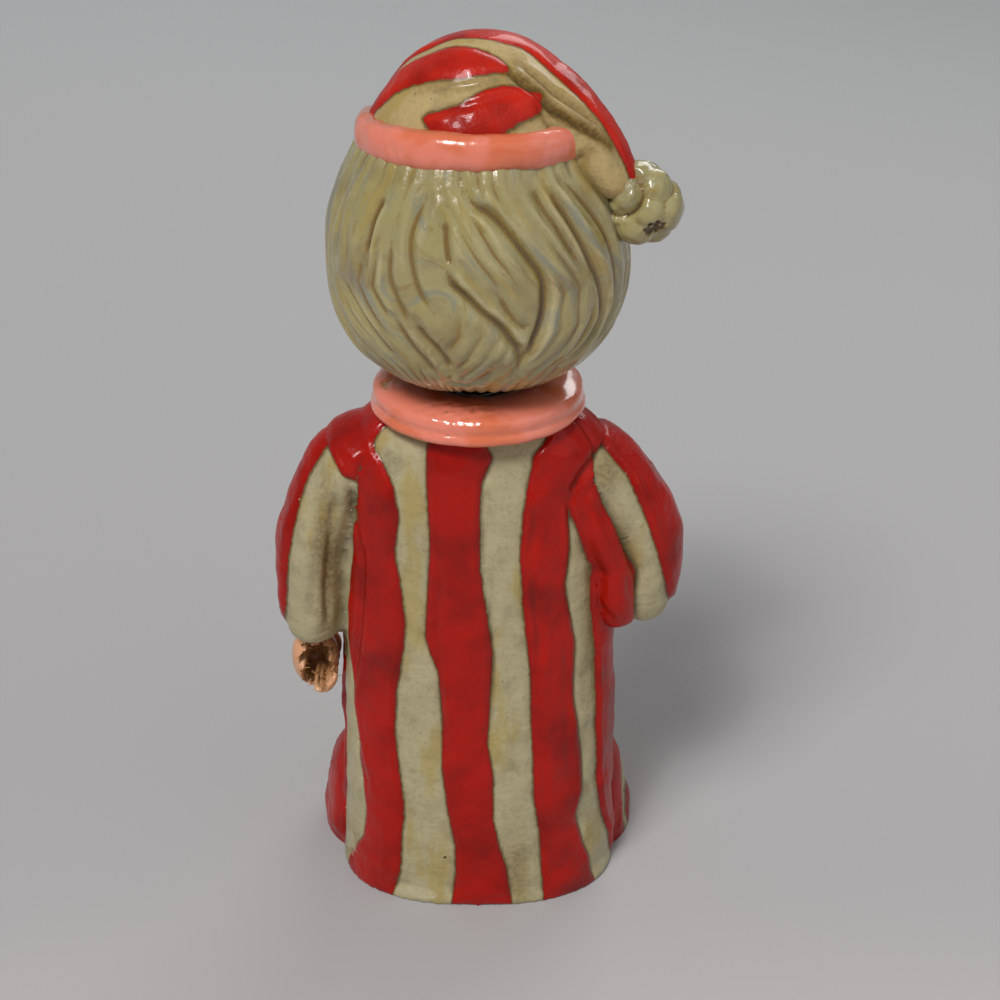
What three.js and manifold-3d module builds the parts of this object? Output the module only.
// A nodding Santa Claus figure of papier-mache, 180 mm tall, in a striped nightshirt and a nightcap.
// The hollow head rides on a coil spring over the collar. Millimetres, +Z up, standing on z = 0.
// The figure faces -Y, so its left side is +X.
import * as THREE from 'three';
import { mergeVertices } from 'three/addons/utils/BufferGeometryUtils.js';
import Module from 'manifold-3d';

const wasm = await Module();
wasm.setup();

// Walls and clearances
const wall = 2.8;
const fitGap = 0.3;
const seamGap = 0.3;
const coarseGap = 0.55;

// Nightshirt: half widths, back and front depths from the neck axis, at six heights
const hipHeight = 40;
const chestHeight = 78;
const neckHeight = 109;
const shoulderTopDrop = 3.5;
const shoulderDrop = 11;
const hemHalfWidth = 29.3;
const hipHalfWidth = 28.2;
const chestHalfWidth = 27.2;
const shoulderHalfWidth = 26.2;
const shoulderTopHalfWidth = 22.5;
const neckHalfWidth = 16.5;
const hemBack = 20.4;
const hipBack = 19.6;
const chestBack = 18.2;
const shoulderBack = 16.8;
const shoulderTopBack = 15.6;
const neckBack = 13.6;
const hemFront = 24;
const hipFront = 25;
const chestFront = 20.5;
const shoulderFront = 16.8;
const shoulderTopFront = 15.6;
const neckFront = 13.6;
const hemSquareness = 2.35;
const neckSquareness = 2;
const lobeAcross = 24;
const lobeForward = 12.5;
const lobeWidth = 10.2;
const lobeDepth = 14;
const lobeHeight = 24;

// Sleeves: the left arm hangs, the right arm is bent to the front
const sleeveHalfWidth = 7.2;
const sleeveHalfDepth = 9.4;
const shoulderAcross = 17;
const armAcross = 33.3;
const leftCuffHeight = 56;
const elbowHeight = 67.6;
const forearmRadius = 7.6;
const rightCuffAcross = 14.5;
const rightCuffForward = 25.5;
const rightCuffHeight = 73;

// Collar: a broad rounded ring over a thin lower step
const collarHalfWidth = 20.5;
const collarHalfDepth = 19.6;
const collarHalfThick = 2.6;
const collarSquareness = 2.5;
const collarStepReach = 0.4;
const collarStepHeight = 3.8;
const neckPlugRadius = 9.6;
const neckPlugDepth = 12;
const neckPlugBossRadius = 7.7;
const neckPlugBossHeight = 2.2;

// Neck spring, with its staples
const springWire = 1.1;
const springRadius = 5.4;
const springPitch = 3;
const springTurns = 6;
const springFlatTurn = 0.25;
const springSteps = 8;
const springSides = 5;
const stapleWire = 0.7;
const stapleDepth = 3;
const stapleGap = 0.25;

// Head
const headHalfWidth = 28.3;
const headHalfDepth = 27;
const headLower = 25;
const headUpper = 33;
const headLowerSquareness = 2.6;
const headLift = 1;
const neckHoleRadius = 11;
const headDiscThickness = 4;
const hairGrooves = 13;
const hairGrooveDepth = 0.8;
const noseRadius = 3.6;
const beardThick = 2.8;
const beardHalfWidth = 15;
const beardHalfDepth = 5.2;
const beardDrop = 36;
const beardClearance = 3.6;
const cheekHeight = 6.5;
const moustacheHalfWidth = 11;
const eyeAcross = 8.6;
const eyeSocketRadius = 4.2;

// Nightcap: a turned-up roll, a leaning dome, and a tail that ends in a pompom on the right side
const brimHeight = 21.9;
const brimRadius = 19.7;
const brimThick = 2.8;
const brimTall = 3.6;
const brimTiltDegrees = 6.5;
const capHeight = 18.1;
const capRadius = 22.3;
const capSideFullness = 1.4;
const capTopFullness = 2.15;
const capLean = 1.3;
const pompomRadius = 7;
const pompomAcross = 29.3;
const pompomBack = 8;
const pompomDrop = 10.6;
const pompomLumps = 11;
const tailRootAcross = 2;
const tailRootDrop = 9.5;
const tailCrestAcross = 12;
const tailCrestDrop = 10.8;
const tailSideAcross = 19.4;
const tailSideDrop = 16.2;
const tailEndAcross = 24;
const tailEndDrop = 22.4;
const tailBack = 7;

// Hands, slippers and base
const fistRadius = 6.4;
const brokenWall = 1.5;
const slipperAcross = 9.6;
const slipperHalfWidth = 7;
const slipperHalfLength = 11;
const slipperHeight = 9;
const slipperReach = 12;
const baseThickness = 1.6;

// Heights that follow from the sizes above
const shoulderHeight = neckHeight - shoulderDrop;
const shoulderTopHeight = neckHeight - shoulderTopDrop;
const collarCentre = neckHeight + collarHalfThick;
const collarTop = collarCentre + collarHalfThick;
const collarBore = neckPlugBossRadius + fitGap;
const neckPlugTop = neckHeight + neckPlugBossHeight;
const headCentre = collarTop + headLift + headLower;
const springBottom = neckPlugTop + fitGap + springWire / 2;
const springClimb = springPitch * (springTurns - 2 * springFlatTurn);
const springTop = springBottom + springClimb;
const headDiscBottom = springTop + springWire / 2 + fitGap;
const brimCentre = headCentre + brimHeight;
const brimTilt = THREE.MathUtils.degToRad(brimTiltDegrees);
const capTop = brimCentre + capHeight;
const pompomCentre = new THREE.Vector3(-pompomAcross, pompomBack, brimCentre - pompomDrop);
const farAway = 400;

// Materials
const red = new THREE.MeshStandardMaterial({ color: '#c8201c', roughness: 0.3, metalness: 0 });
const cream = new THREE.MeshStandardMaterial({ color: '#b9ad86', roughness: 0.35, metalness: 0 });
const pink = new THREE.MeshStandardMaterial({ color: '#f07a66', roughness: 0.28, metalness: 0 });
const flesh = new THREE.MeshStandardMaterial({ color: '#d99a66', roughness: 0.35, metalness: 0 });
const slipperRed = new THREE.MeshStandardMaterial({ color: '#a81c18', roughness: 0.32, metalness: 0 });
const wood = new THREE.MeshStandardMaterial({ color: '#b98d5a', roughness: 0.8, metalness: 0 });
const steel = new THREE.MeshStandardMaterial({ color: '#8f9294', roughness: 0.4, metalness: 1 });
const board = new THREE.MeshStandardMaterial({ color: '#8a7557', roughness: 0.95, metalness: 0 });

// Builds a closed surface from rows of points: both ends of a tube are closed, or the tube meets itself.
function closedSurface(pointAt, rows, columns, endless = false) {
  const positions = [];
  const indices = [];
  const ringCount = endless ? rows : rows + 1;
  for (let row = 0; row < ringCount; row += 1) {
    for (let column = 0; column < columns; column += 1) {
      const point = pointAt(row / rows, (column / columns) * Math.PI * 2);
      positions.push(point.x, point.y, point.z);
    }
  }
  const at = (row, column) => (row % ringCount) * columns + (column % columns);
  for (let row = 0; row < rows; row += 1) {
    for (let column = 0; column < columns; column += 1) {
      const corner = [at(row, column), at(row, column + 1), at(row + 1, column + 1), at(row + 1, column)];
      indices.push(corner[0], corner[1], corner[2], corner[0], corner[2], corner[3]);
    }
  }
  if (!endless) {
    for (const row of [0, rows]) {
      const middle = new THREE.Vector3();
      for (let column = 0; column < columns; column += 1) {
        middle.add(new THREE.Vector3().fromArray(positions, at(row, column) * 3));
      }
      middle.divideScalar(columns);
      const hub = positions.length / 3;
      positions.push(middle.x, middle.y, middle.z);
      for (let column = 0; column < columns; column += 1) {
        const next = at(row, column + 1);
        const here = at(row, column);
        indices.push(...(row === 0 ? [hub, next, here] : [hub, here, next]));
      }
    }
  }
  const geometry = new THREE.BufferGeometry();
  geometry.setAttribute('position', new THREE.Float32BufferAttribute(positions, 3));
  geometry.setIndex(indices);
  return geometry;
}

// Turns a closed geometry into a solid that can be joined and cut.
function solid(geometry) {
  const bare = (geometry.index ? geometry.toNonIndexed() : geometry).clone();
  bare.deleteAttribute('normal');
  bare.deleteAttribute('uv');
  const merged = mergeVertices(bare, 1e-4);
  const vertProperties = new Float32Array(merged.attributes.position.array);
  const corners = merged.index.array;
  const triVerts = [];
  for (let i = 0; i < corners.length; i += 3) {
    const [a, b, c] = [corners[i], corners[i + 1], corners[i + 2]];
    if (a !== b && b !== c && c !== a) triVerts.push(a, b, c);
  }
  const made = new wasm.Manifold(new wasm.Mesh({ numProp: 3, vertProperties, triVerts: new Uint32Array(triVerts) }));
  if (made.volume() > 0) return made;
  const turned = new Uint32Array(triVerts.length);
  for (let i = 0; i < triVerts.length; i += 3) turned.set([triVerts[i], triVerts[i + 2], triVerts[i + 1]], i);
  return new wasm.Manifold(new wasm.Mesh({ numProp: 3, vertProperties, triVerts: turned }));
}

function join(...solids) {
  return solids.reduce((whole, next) => whole.add(next));
}

function moved(made, x, y, z) {
  const geometry = geometryOf(made);
  geometry.translate(x, y, z);
  return solid(geometry);
}

// The same cutter again, 1 mm lower, so that a cut ends under the floor and not flush with it
function pastFloor(cutter) {
  return moved(cutter, 0, 0, -1);
}

function geometryOf(made) {
  const { vertProperties, triVerts, numProp } = made.getMesh();
  const positions = [];
  for (let i = 0; i < vertProperties.length; i += numProp) {
    positions.push(vertProperties[i], vertProperties[i + 1], vertProperties[i + 2]);
  }
  const geometry = new THREE.BufferGeometry();
  geometry.setAttribute('position', new THREE.Float32BufferAttribute(positions, 3));
  geometry.setIndex([...triVerts]);
  const shown = geometry.toNonIndexed();
  shown.computeVertexNormals();
  return shown;
}

function ellipsoid(centre, radii, columns = 20, rows = 12) {
  const geometry = new THREE.SphereGeometry(1, columns, rows);
  geometry.rotateX(Math.PI / 2);
  geometry.scale(radii.x, radii.y, radii.z);
  geometry.translate(centre.x, centre.y, centre.z);
  return solid(geometry);
}

function block(low, high) {
  const size = new THREE.Vector3().subVectors(high, low);
  const geometry = new THREE.BoxGeometry(size.x, size.y, size.z);
  geometry.translate((low.x + high.x) / 2, (low.y + high.y) / 2, (low.z + high.z) / 2);
  return solid(geometry);
}

function roundBar(radius, low, high, sides = 32) {
  const geometry = new THREE.CylinderGeometry(radius, radius, high - low, sides);
  geometry.rotateX(Math.PI / 2);
  geometry.translate(0, 0, (low + high) / 2);
  return solid(geometry);
}

function signedPower(value, power) {
  return Math.sign(value) * Math.abs(value) ** power;
}

// A limb follows a smooth line, and its oval section narrows to round ends.
function limb(line, halfAcross, halfDeep, upright, bluntness, grow = 0, columns = 16, rows = 9) {
  const path = new THREE.CatmullRomCurve3(line);
  const geometry = closedSurface((along, around) => {
    const edge = Math.abs(2 * along - 1);
    const fullness = (1 - Math.min(edge, 0.9995) ** bluntness) ** (1 / bluntness);
    const centre = path.getPoint(along);
    const forward = path.getTangent(along);
    const across = new THREE.Vector3().crossVectors(upright, forward).normalize();
    const deep = new THREE.Vector3().crossVectors(forward, across);
    const reach = Math.sign(along - 0.5) * grow * THREE.MathUtils.smoothstep(edge, 0.4, 0.9);
    return centre
      .addScaledVector(across, (halfAcross(along) + grow) * fullness * Math.cos(around))
      .addScaledVector(deep, (halfDeep(along) + grow) * fullness * Math.sin(around))
      .addScaledVector(forward, reach);
  }, rows, columns);
  return solid(geometry);
}

// Nightshirt body
const gownStations = [
  { z: 0, side: hemHalfWidth, back: hemBack, front: hemFront },
  { z: hipHeight, side: hipHalfWidth, back: hipBack, front: hipFront },
  { z: chestHeight, side: chestHalfWidth, back: chestBack, front: chestFront },
  { z: shoulderHeight, side: shoulderHalfWidth, back: shoulderBack, front: shoulderFront },
  { z: shoulderTopHeight, side: shoulderTopHalfWidth, back: shoulderTopBack, front: shoulderTopFront },
  { z: neckHeight, side: neckHalfWidth, back: neckBack, front: neckFront },
];
const gownLines = Object.fromEntries(['side', 'back', 'front'].map((key) => [
  key,
  new THREE.SplineCurve(gownStations.map((station) => new THREE.Vector2(station[key], station.z))),
]));

function gownBody(inset, columns, rows) {
  return solid(closedSurface((along, around) => {
    const side = gownLines.side.getPoint(along);
    const back = gownLines.back.getPoint(along).x - inset;
    const front = gownLines.front.getPoint(along).x - inset;
    const squareness = THREE.MathUtils.lerp(hemSquareness, neckSquareness, along);
    const across = signedPower(Math.cos(around), 2 / squareness);
    const deep = signedPower(Math.sin(around), 2 / squareness);
    return new THREE.Vector3((side.x - inset) * across, (deep > 0 ? back : front) * deep, side.y);
  }, rows, columns));
}

function hemLobe(sign, grow) {
  const centre = new THREE.Vector3(sign * lobeAcross, -lobeForward, 0);
  return ellipsoid(centre, new THREE.Vector3(lobeWidth + grow, lobeDepth + grow, lobeHeight + grow), 16, 10);
}

// Sleeves
const armUpright = new THREE.Vector3(0, 1, 0);
const forearmUpright = new THREE.Vector3(0, 0, 1);
const leftArmLine = [
  new THREE.Vector3(shoulderAcross, 0, shoulderHeight + 1),
  new THREE.Vector3((shoulderAcross + armAcross) / 2, 0, shoulderHeight - 2.6),
  new THREE.Vector3(armAcross - 1, 0, (shoulderHeight + leftCuffHeight) / 2 + 3),
  new THREE.Vector3(armAcross, 0, leftCuffHeight + 11),
  new THREE.Vector3(armAcross - 0.6, 0, leftCuffHeight),
];
const rightArmLine = [
  new THREE.Vector3(-shoulderAcross + 1, 0, shoulderHeight),
  new THREE.Vector3(-(shoulderAcross + armAcross) / 2 + 0.8, 0, shoulderHeight - 4.4),
  new THREE.Vector3(-armAcross + 0.6, -0.5, (shoulderHeight + elbowHeight) / 2 - 3),
  new THREE.Vector3(-armAcross + 0.4, -1, elbowHeight - forearmRadius),
];
const forearmLine = [
  new THREE.Vector3(-armAcross + 1.6, 6, elbowHeight + 0.6),
  new THREE.Vector3(-armAcross + 1, -4, elbowHeight),
  new THREE.Vector3((-armAcross - rightCuffAcross) / 2 - 2.5, -rightCuffForward * 0.65, (elbowHeight + rightCuffHeight) / 2),
  new THREE.Vector3(-rightCuffAcross, -rightCuffForward, rightCuffHeight),
];
const leftSleeveTaper = (along) => sleeveHalfWidth + 0.9 * (1 - along);
const rightSleeveTaper = (along) => sleeveHalfWidth + 0.5 + 0.6 * (1 - along);
const sleeveDepthTaper = (along) => sleeveHalfDepth + 1.4 * (1 - along);
const forearmTaper = (along) => forearmRadius * (1 - 0.08 * along);
const sleeveBluntness = 4.5;
const cuffBluntness = 6;

function leftSleeve(grow) {
  return limb(leftArmLine, leftSleeveTaper, sleeveDepthTaper, armUpright, cuffBluntness, grow);
}

function rightSleeve(grow) {
  const upper = limb(rightArmLine, rightSleeveTaper, sleeveDepthTaper, armUpright, sleeveBluntness, grow);
  const lower = limb(forearmLine, forearmTaper, forearmTaper, forearmUpright, cuffBluntness, grow);
  return upper.add(lower);
}

function gownOutside(grow) {
  return join(gownBody(-grow, 40, 12), leftSleeve(grow), rightSleeve(grow), hemLobe(1, grow), hemLobe(-1, grow));
}

const underFloor = block(new THREE.Vector3(-farAway, -farAway, -farAway), new THREE.Vector3(farAway, farAway, 0));
const behind = block(new THREE.Vector3(-farAway, seamGap / 2, -farAway), new THREE.Vector3(farAway, farAway, farAway));
const inFront = block(
  new THREE.Vector3(-farAway, -farAway, -farAway),
  new THREE.Vector3(farAway, -seamGap / 2, farAway),
);
const bodyHollow = gownBody(wall, 24, 8);
const gownHollow = join(bodyHollow, pastFloor(bodyHollow), leftSleeve(-wall), rightSleeve(-wall));
const neckHole = roundBar(neckPlugRadius + fitGap, neckHeight - neckPlugDepth - wall, farAway);
const gownShell = gownOutside(0).subtract(gownHollow).subtract(neckHole).subtract(underFloor);
const gownClear = join(
  gownBody(-coarseGap, 30, 9), rightSleeve(fitGap), hemLobe(1, fitGap), hemLobe(-1, fitGap),
);

// Ring with an oval section, lying level or tilted about the X axis
function ovalRing(radiusX, radiusY, height, halfThick, halfTall, tilt, columns, rows, squareness = 2) {
  const lean = new THREE.Matrix4().makeRotationX(tilt);
  return solid(closedSurface((along, around) => {
    const turn = along * Math.PI * 2;
    const reach = halfThick * signedPower(Math.cos(around), 2 / squareness);
    const point = new THREE.Vector3(
      (radiusX + reach) * Math.cos(turn),
      (radiusY + reach) * Math.sin(turn),
      halfTall * signedPower(Math.sin(around), 2 / squareness),
    );
    point.applyMatrix4(lean);
    point.z += height;
    return point;
  }, columns, rows, true));
}

// Collar
function collarPiece() {
  const halfBreadth = (collarHalfWidth - collarBore) / 2;
  const acrossRadius = collarHalfWidth - halfBreadth;
  const deepRadius = collarHalfDepth - halfBreadth;
  const roll = ovalRing(
    acrossRadius, deepRadius, collarCentre, halfBreadth, collarHalfThick, 0, 36, 12, collarSquareness,
  );
  const stepMiddle = collarCentre - collarHalfThick + 0.1;
  const stepBreadth = halfBreadth + collarStepReach;
  const step = ovalRing(
    acrossRadius, deepRadius, stepMiddle, stepBreadth, collarStepHeight / 2, 0, 36, 8, collarSquareness,
  );
  const bore = roundBar(collarBore, 0, farAway, 28);
  return roll.add(step).subtract(join(gownClear, bore));
}

// Neck plug, turned from wood, with drilled staple holes
const staplePlaces = [0.08, 0.5].map((turn) => turn * Math.PI * 2);

function springClimbAt(turns) {
  const rising = THREE.MathUtils.clamp(turns - springFlatTurn, 0, springTurns - 2 * springFlatTurn);
  return springPitch * rising;
}

function springPoint(turns) {
  const angle = turns * Math.PI * 2;
  const height = springBottom + springClimbAt(turns);
  return new THREE.Vector3(springRadius * Math.cos(angle), springRadius * Math.sin(angle), height);
}

function coilSpring() {
  const steps = springTurns * springSteps;
  return closedSurface((along, around) => {
    const turns = along * springTurns;
    const centre = springPoint(turns);
    const outward = new THREE.Vector3(centre.x, centre.y, 0).normalize();
    const forward = springPoint(turns + 0.01).sub(springPoint(turns - 0.01)).normalize();
    const upward = new THREE.Vector3().crossVectors(outward, forward).normalize();
    return centre
      .addScaledVector(outward, (springWire / 2) * Math.cos(around))
      .addScaledVector(upward, (springWire / 2) * Math.sin(around));
  }, steps, springSides);
}

// Least gap from the wire to itself, one turn or more away
function springSelfGap() {
  let least = Infinity;
  const samples = springTurns * 36;
  const centres = Array.from({ length: samples + 1 }, (unused, i) => springPoint((i / samples) * springTurns));
  for (let i = 0; i <= samples; i += 1) {
    for (let j = i + 18; j <= samples; j += 1) least = Math.min(least, centres[i].distanceTo(centres[j]));
  }
  return least - springWire;
}
console.log(`Least gap of the neck spring to itself: ${springSelfGap().toFixed(2)} mm`);

// A staple straddles the wire: two legs and a crown, as one bent wire of square section
function staplePiece(turns, seat, sign, grow) {
  const wirePlace = springPoint(turns);
  const halfSpan = springWire / 2 + stapleGap + stapleWire / 2;
  const halfWire = stapleWire / 2 + grow;
  const crown = Math.abs(wirePlace.z - seat) + springWire / 2 + stapleGap + stapleWire / 2;
  const outline = new THREE.Shape();
  const outer = halfSpan + halfWire;
  const inner = halfSpan - halfWire;
  outline.moveTo(-outer, -stapleDepth - grow);
  outline.lineTo(-outer, crown + halfWire);
  outline.lineTo(outer, crown + halfWire);
  outline.lineTo(outer, -stapleDepth - grow);
  outline.lineTo(inner, -stapleDepth - grow);
  outline.lineTo(inner, crown - halfWire);
  outline.lineTo(-inner, crown - halfWire);
  outline.lineTo(-inner, -stapleDepth - grow);
  outline.closePath();
  const geometry = new THREE.ExtrudeGeometry(outline, { depth: halfWire * 2, bevelEnabled: false });
  geometry.translate(0, 0, -halfWire);
  geometry.rotateX(Math.PI / 2);
  if (sign < 0) geometry.rotateY(Math.PI);
  geometry.rotateZ(turns * Math.PI * 2);
  geometry.translate(wirePlace.x, wirePlace.y, seat);
  return solid(geometry);
}
const lowerStapleTurns = staplePlaces.map((angle) => angle / (Math.PI * 2));
const upperStapleTurns = lowerStapleTurns.map((turns) => springTurns - turns);

function neckPlugPiece() {
  const foot = neckHeight - neckPlugDepth;
  const profile = [
    new THREE.Vector2(0, foot),
    new THREE.Vector2(neckPlugRadius - 1, foot),
    new THREE.Vector2(neckPlugRadius, foot + 1),
    new THREE.Vector2(neckPlugRadius, neckHeight - collarStepHeight / 2 - fitGap),
    new THREE.Vector2(neckPlugBossRadius, neckHeight - collarStepHeight / 2 - fitGap),
    new THREE.Vector2(neckPlugBossRadius, neckPlugTop - 0.4),
    new THREE.Vector2(neckPlugBossRadius - 0.4, neckPlugTop),
    new THREE.Vector2(0, neckPlugTop),
  ];
  const geometry = new THREE.LatheGeometry(profile, 24);
  geometry.rotateX(Math.PI / 2);
  const holes = lowerStapleTurns.map((turns) => staplePiece(turns, neckPlugTop, 1, fitGap / 3));
  return solid(geometry).subtract(join(...holes));
}

// Head: rounded below, taller above, with soft wavy grooves in the hair
function headProfile(height) {
  if (height < 0) return (1 - (-height / headLower) ** headLowerSquareness) ** (1 / headLowerSquareness);
  return Math.sqrt(1 - (height / headUpper) ** 2);
}

function hairRelief(height, around) {
  const swing = 0.55 * Math.sin((height / headLower) * 1.7 + 0.4);
  const wave = Math.cos(hairGrooves * (around + swing));
  const fade = THREE.MathUtils.smoothstep(Math.sin(around), -0.35, 0.05);
  return hairGrooveDepth * Math.max(0, wave) ** 3 * fade;
}

function headForm(inset, columns, rows, grooved) {
  const lower = headLower - inset;
  const upper = headUpper - inset;
  return solid(closedSurface((along, around) => {
    const tilt = (along - 0.5) * Math.PI * 0.998;
    const rise = Math.sin(tilt);
    const height = rise < 0 ? rise * lower : rise * upper;
    const fullness = headProfile(rise < 0 ? rise * headLower : rise * headUpper);
    const relief = grooved ? hairRelief(height, around) * Math.cos(tilt) : 0;
    return new THREE.Vector3(
      ((headHalfWidth - inset) * fullness - relief) * Math.cos(around),
      ((headHalfDepth - inset) * fullness - relief) * Math.sin(around),
      headCentre + height,
    );
  }, rows, columns));
}

const brimRadiusY = brimRadius * headHalfDepth / headHalfWidth;

// Everything over the brim's tilted plane, raised or lowered along its normal
function overBrim(raised) {
  const geometry = new THREE.BoxGeometry(farAway, farAway, farAway);
  geometry.translate(0, 0, farAway / 2 + raised);
  geometry.rotateX(brimTilt);
  geometry.translate(0, 0, brimCentre);
  return solid(geometry);
}

function brimRoll(grow, columns, rows) {
  return ovalRing(
    brimRadius, brimRadiusY, brimCentre, brimThick + grow, brimTall + grow, brimTilt, columns, rows,
  );
}
const brimClear = brimRoll(fitGap, 36, 8);
const wallEndInBrim = brimTall * 0.4;

// The round space inside the brim, which the head's wall stays out of
function insideBrim() {
  const geometry = new THREE.CylinderGeometry(brimRadius, brimRadius, brimTall * 2, 32);
  geometry.rotateX(Math.PI / 2);
  geometry.scale(1, brimRadiusY / brimRadius, 1);
  geometry.rotateX(brimTilt);
  geometry.translate(0, 0, brimCentre);
  return solid(geometry);
}

// Beard, moustache and nose are moulded on the front half of the head
function beardForm() {
  const around = moved(headForm(0, 36, 14, false), 0, -beardThick, 0).intersect(block(
    new THREE.Vector3(-farAway, -farAway, 0),
    new THREE.Vector3(farAway, -headHalfDepth * 0.15, headCentre - cheekHeight),
  ));
  const forward = headHalfDepth + beardThick * 0.6;
  const line = [
    new THREE.Vector3(0, -forward * 0.93, headCentre - cheekHeight - 4),
    new THREE.Vector3(0, -forward, headCentre - cheekHeight - beardDrop * 0.3),
    new THREE.Vector3(0, -forward, headCentre - cheekHeight - beardDrop * 0.55),
    new THREE.Vector3(0, -forward * 0.97, headCentre - beardDrop),
  ];
  const width = (along) => beardHalfWidth * (1 - 0.35 * along ** 2);
  const lobe = limb(line, width, () => beardHalfDepth, armUpright, 2.4, 0, 20, 9);
  return around.add(lobe);
}

function moustacheHalf(sign) {
  const middle = -headHalfDepth - 0.2;
  const line = [
    new THREE.Vector3(sign * 0.4, middle - 1.2, headCentre - 8.2),
    new THREE.Vector3(sign * moustacheHalfWidth * 0.5, middle - 0.6, headCentre - 9.6),
    new THREE.Vector3(sign * moustacheHalfWidth, middle + 2.6, headCentre - 12.4),
  ];
  return limb(line, (along) => 3.1 - 1.3 * along, (along) => 2.7 - along, forearmUpright, 2.6, 0, 12, 6);
}

function eyeSocket(sign) {
  const centre = new THREE.Vector3(sign * eyeAcross, -headHalfDepth * 0.955 - eyeSocketRadius * 0.62, headCentre + 0.8);
  return ellipsoid(centre, new THREE.Vector3(eyeSocketRadius, eyeSocketRadius, eyeSocketRadius * 0.72), 12, 8);
}

function faceForms() {
  const nosePlace = new THREE.Vector3(0, -headHalfDepth - 1.2, headCentre - 4.6);
  const nose = ellipsoid(nosePlace, new THREE.Vector3(noseRadius, noseRadius * 1.05, noseRadius), 12, 8);
  return join(beardForm(), moustacheHalf(1), moustacheHalf(-1), nose);
}

const headHollow = headForm(wall, 24, 9, false);
const neckOpening = roundBar(neckHoleRadius, -farAway, headCentre - headLower / 2, 32);
const beardRoom = roundBar(
  collarHalfWidth + collarStepReach + beardClearance, -farAway, headCentre - headLower * 0.74, 36,
);
const headSkin = headForm(0, 48, 14, true);
const headShape = headSkin.subtract(join(eyeSocket(1), eyeSocket(-1)));
const faceShape = faceForms().subtract(beardRoom);
const headShell = headShape.add(faceShape)
  .subtract(join(headHollow, neckOpening, overBrim(-wallEndInBrim), insideBrim(), brimClear));
const headClear = headForm(-coarseGap, 28, 11, false);

function headDiscPiece() {
  const disc = roundBar(headHalfWidth, headDiscBottom, headDiscBottom + headDiscThickness, 48);
  const holes = upperStapleTurns.map((turns) => staplePiece(turns, headDiscBottom, -1, fitGap / 3));
  return disc.intersect(headForm(wall + fitGap, 24, 9, false)).subtract(join(...holes));
}

// Nightcap
function capDome(inset) {
  const height = capHeight - inset;
  const below = brimTall;
  return solid(closedSurface((along, around) => {
    const climb = Math.sin(along * Math.PI * 0.5);
    const rise = (height + below) * climb * 0.9999;
    const fullness = (1 - (rise / (height + below)) ** capSideFullness) ** (1 / capTopFullness);
    const lean = capLean * (rise / (capHeight + below));
    return new THREE.Vector3(
      (capRadius - inset) * fullness * Math.cos(around) - lean,
      (capRadius * headHalfDepth / headHalfWidth - inset) * fullness * Math.sin(around),
      brimCentre - below + rise,
    );
  }, 8, 28));
}

const tailLine = [
  new THREE.Vector3(-tailRootAcross, -1, capTop - tailRootDrop),
  new THREE.Vector3(-tailCrestAcross, tailBack * 0.3, capTop - tailCrestDrop),
  new THREE.Vector3(-tailSideAcross, tailBack * 0.7, capTop - tailSideDrop),
  new THREE.Vector3(-tailEndAcross, tailBack, capTop - tailEndDrop),
  new THREE.Vector3().copy(pompomCentre).add(new THREE.Vector3(1.6, 0, 2)),
];

function capTail(grow) {
  const outward = new THREE.Vector3(0.35, 0.94, 0);
  const thick = (along) => 6.6 - 3 * along;
  const broad = (along) => 10 - 5.6 * along;
  return limb(tailLine, thick, broad, outward, 4, grow, 14, 9);
}

function nightcapPiece() {
  const dome = capDome(0).intersect(overBrim(wallEndInBrim));
  const hollow = capDome(wall);
  return dome.add(capTail(0)).subtract(join(hollow, brimClear, headClear));
}

// Pompom: a ball pressed together from small lumps
function pompomPiece() {
  const golden = Math.PI * (3 - Math.sqrt(5));
  const lumps = Array.from({ length: pompomLumps }, (unused, i) => {
    const height = 1 - (2 * (i + 0.5)) / pompomLumps;
    const spread = Math.sqrt(1 - height * height);
    return new THREE.Vector3(spread * Math.cos(i * golden), spread * Math.sin(i * golden), height);
  });
  const ball = closedSurface((along, around) => {
    const tilt = (along - 0.5) * Math.PI * 0.996;
    const way = new THREE.Vector3(
      Math.cos(tilt) * Math.cos(around),
      Math.cos(tilt) * Math.sin(around),
      Math.sin(tilt),
    );
    const nearest = Math.max(...lumps.map((lump) => lump.dot(way)));
    const swell = 0.9 + 0.1 * THREE.MathUtils.smoothstep(nearest, 0.72, 0.97);
    return way.multiplyScalar(pompomRadius * swell).add(pompomCentre);
  }, 14, 20);
  return solid(ball).subtract(join(headClear, capTail(fitGap)));
}

// Hands. The left fist is hollow and broken open at the back, the right one is closed on the belly.
function fist(centre, sign) {
  const palm = ellipsoid(centre, new THREE.Vector3(fistRadius * 0.78, fistRadius * 0.92, fistRadius * 1.08), 12, 8);
  const fingers = [0, 1, 2, 3].map((finger) => {
    const knuckle = new THREE.Vector3(
      centre.x - sign * fistRadius * 0.42,
      centre.y - fistRadius * 0.62 + finger * fistRadius * 0.42,
      centre.z - fistRadius * 0.62,
    );
    return ellipsoid(knuckle, new THREE.Vector3(fistRadius * 0.4, fistRadius * 0.27, fistRadius * 0.5), 8, 5);
  });
  const thumbPlace = new THREE.Vector3(centre.x - sign * fistRadius * 0.45, centre.y - fistRadius * 0.75, centre.z);
  const thumb = ellipsoid(thumbPlace, new THREE.Vector3(fistRadius * 0.3, fistRadius * 0.32, fistRadius * 0.75), 8, 5);
  return join(palm, thumb, ...fingers);
}

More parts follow.
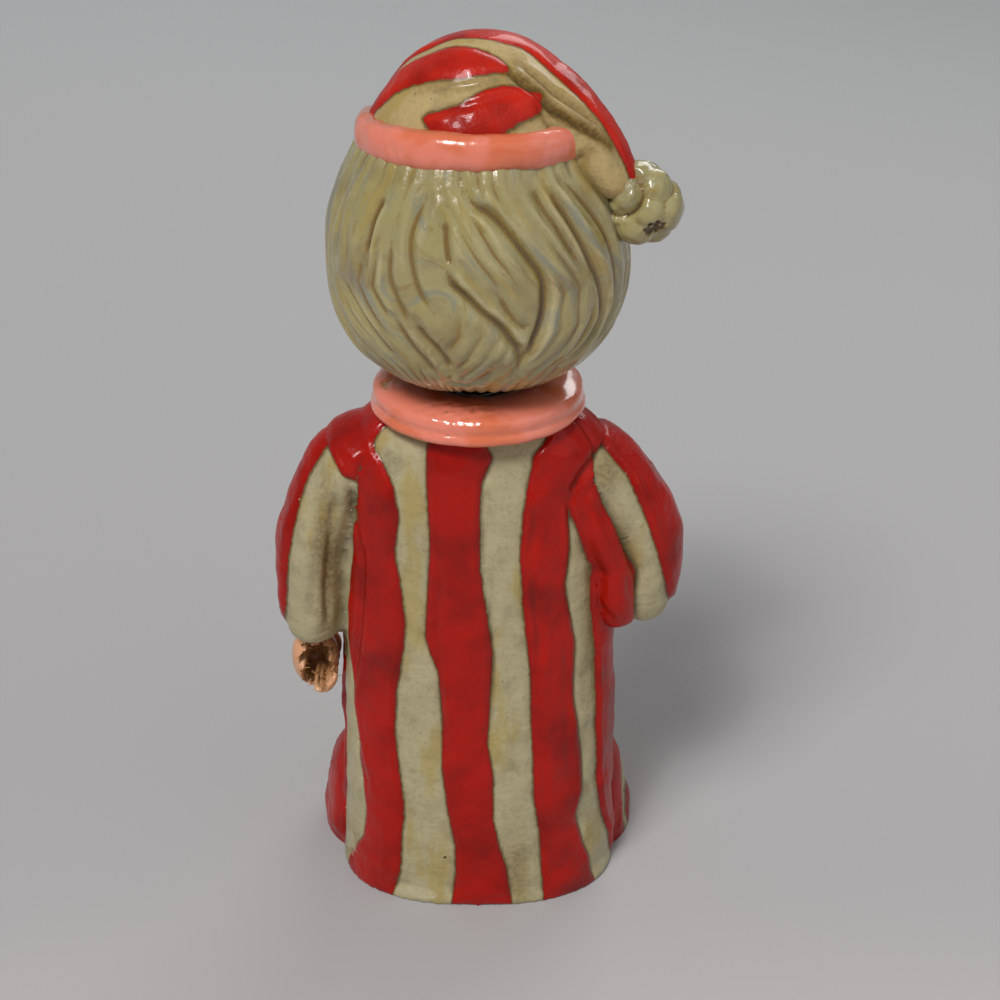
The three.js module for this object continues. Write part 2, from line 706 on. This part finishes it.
function leftHandPiece() {
  const centre = new THREE.Vector3(armAcross + 0.6, 0, leftCuffHeight - fistRadius * 1.1);
  const whole = fist(centre, 1);
  const inside = ellipsoid(centre, new THREE.Vector3(
    fistRadius * 0.78 - brokenWall,
    fistRadius * 0.92 - brokenWall,
    fistRadius * 1.08 - brokenWall,
  ), 10, 6);
  const breakPlace = new THREE.Vector3(centre.x - 0.4, centre.y + fistRadius * 0.9, centre.z - 0.4);
  const breakHole = ellipsoid(breakPlace, new THREE.Vector3(3.3, fistRadius * 0.62, 4.8), 9, 6);
  return whole.subtract(join(inside, breakHole, leftSleeve(fitGap), gownClear));
}

function rightHandPiece() {
  const geometry = geometryOf(fist(new THREE.Vector3(0, 0, 0), -1));
  geometry.rotateY(THREE.MathUtils.degToRad(-78));
  geometry.rotateZ(THREE.MathUtils.degToRad(-14));
  geometry.translate(-rightCuffAcross + fistRadius * 0.95, -rightCuffForward - fistRadius * 0.35, rightCuffHeight + 1);
  return solid(geometry).subtract(gownClear);
}

function slipperPiece(sign) {
  const centre = new THREE.Vector3(sign * slipperAcross, -hemFront - slipperReach + slipperHalfLength, 0);
  const form = ellipsoid(centre, new THREE.Vector3(slipperHalfWidth, slipperHalfLength, slipperHeight), 18, 12);
  return form.subtract(underFloor).subtract(join(gownClear, pastFloor(gownClear)));
}

function baseDiscPiece() {
  const slab = block(new THREE.Vector3(-farAway, -farAway, 0), new THREE.Vector3(farAway, farAway, baseThickness));
  return slab.intersect(gownBody(wall + fitGap, 24, 8));
}

const figure = new THREE.Group();

function addPiece(parent, name, geometry, material) {
  const mesh = new THREE.Mesh(geometry, material);
  mesh.name = name;
  parent.add(mesh);
}

// Standing body
const body = new THREE.Group();
figure.add(body);
addPiece(body, 'robe_back', geometryOf(gownShell.intersect(behind)), red);
addPiece(body, 'robe_front', geometryOf(gownShell.intersect(inFront)), red);
addPiece(body, 'collar', geometryOf(collarPiece()), pink);
addPiece(body, 'left_hand', geometryOf(leftHandPiece()), flesh);
addPiece(body, 'right_hand', geometryOf(rightHandPiece()), flesh);
addPiece(body, 'left_slipper', geometryOf(slipperPiece(1)), slipperRed);
addPiece(body, 'right_slipper', geometryOf(slipperPiece(-1)), slipperRed);
addPiece(body, 'base_disc', geometryOf(baseDiscPiece()), board);
addPiece(body, 'neck_plug', geometryOf(neckPlugPiece()), wood);
lowerStapleTurns.forEach((turns, i) => {
  addPiece(body, `neck_staple_${i + 1}`, geometryOf(staplePiece(turns, neckPlugTop, 1, 0)), steel);
});

// Spring
addPiece(figure, 'neck_spring', geometryOf(solid(coilSpring())), steel);

// Nodding head
const head = new THREE.Group();
figure.add(head);
addPiece(head, 'head_disc', geometryOf(headDiscPiece()), wood);
upperStapleTurns.forEach((turns, i) => {
  addPiece(head, `head_staple_${i + 1}`, geometryOf(staplePiece(turns, headDiscBottom, -1, 0)), steel);
});
addPiece(head, 'head_back', geometryOf(headShell.intersect(behind)), cream);
addPiece(head, 'head_front', geometryOf(headShell.intersect(inFront)), flesh);
addPiece(head, 'nightcap', geometryOf(nightcapPiece()), red);
addPiece(head, 'cap_brim', geometryOf(brimRoll(0, 36, 8)), pink);
addPiece(head, 'pompom', geometryOf(pompomPiece()), cream);

export default figure;
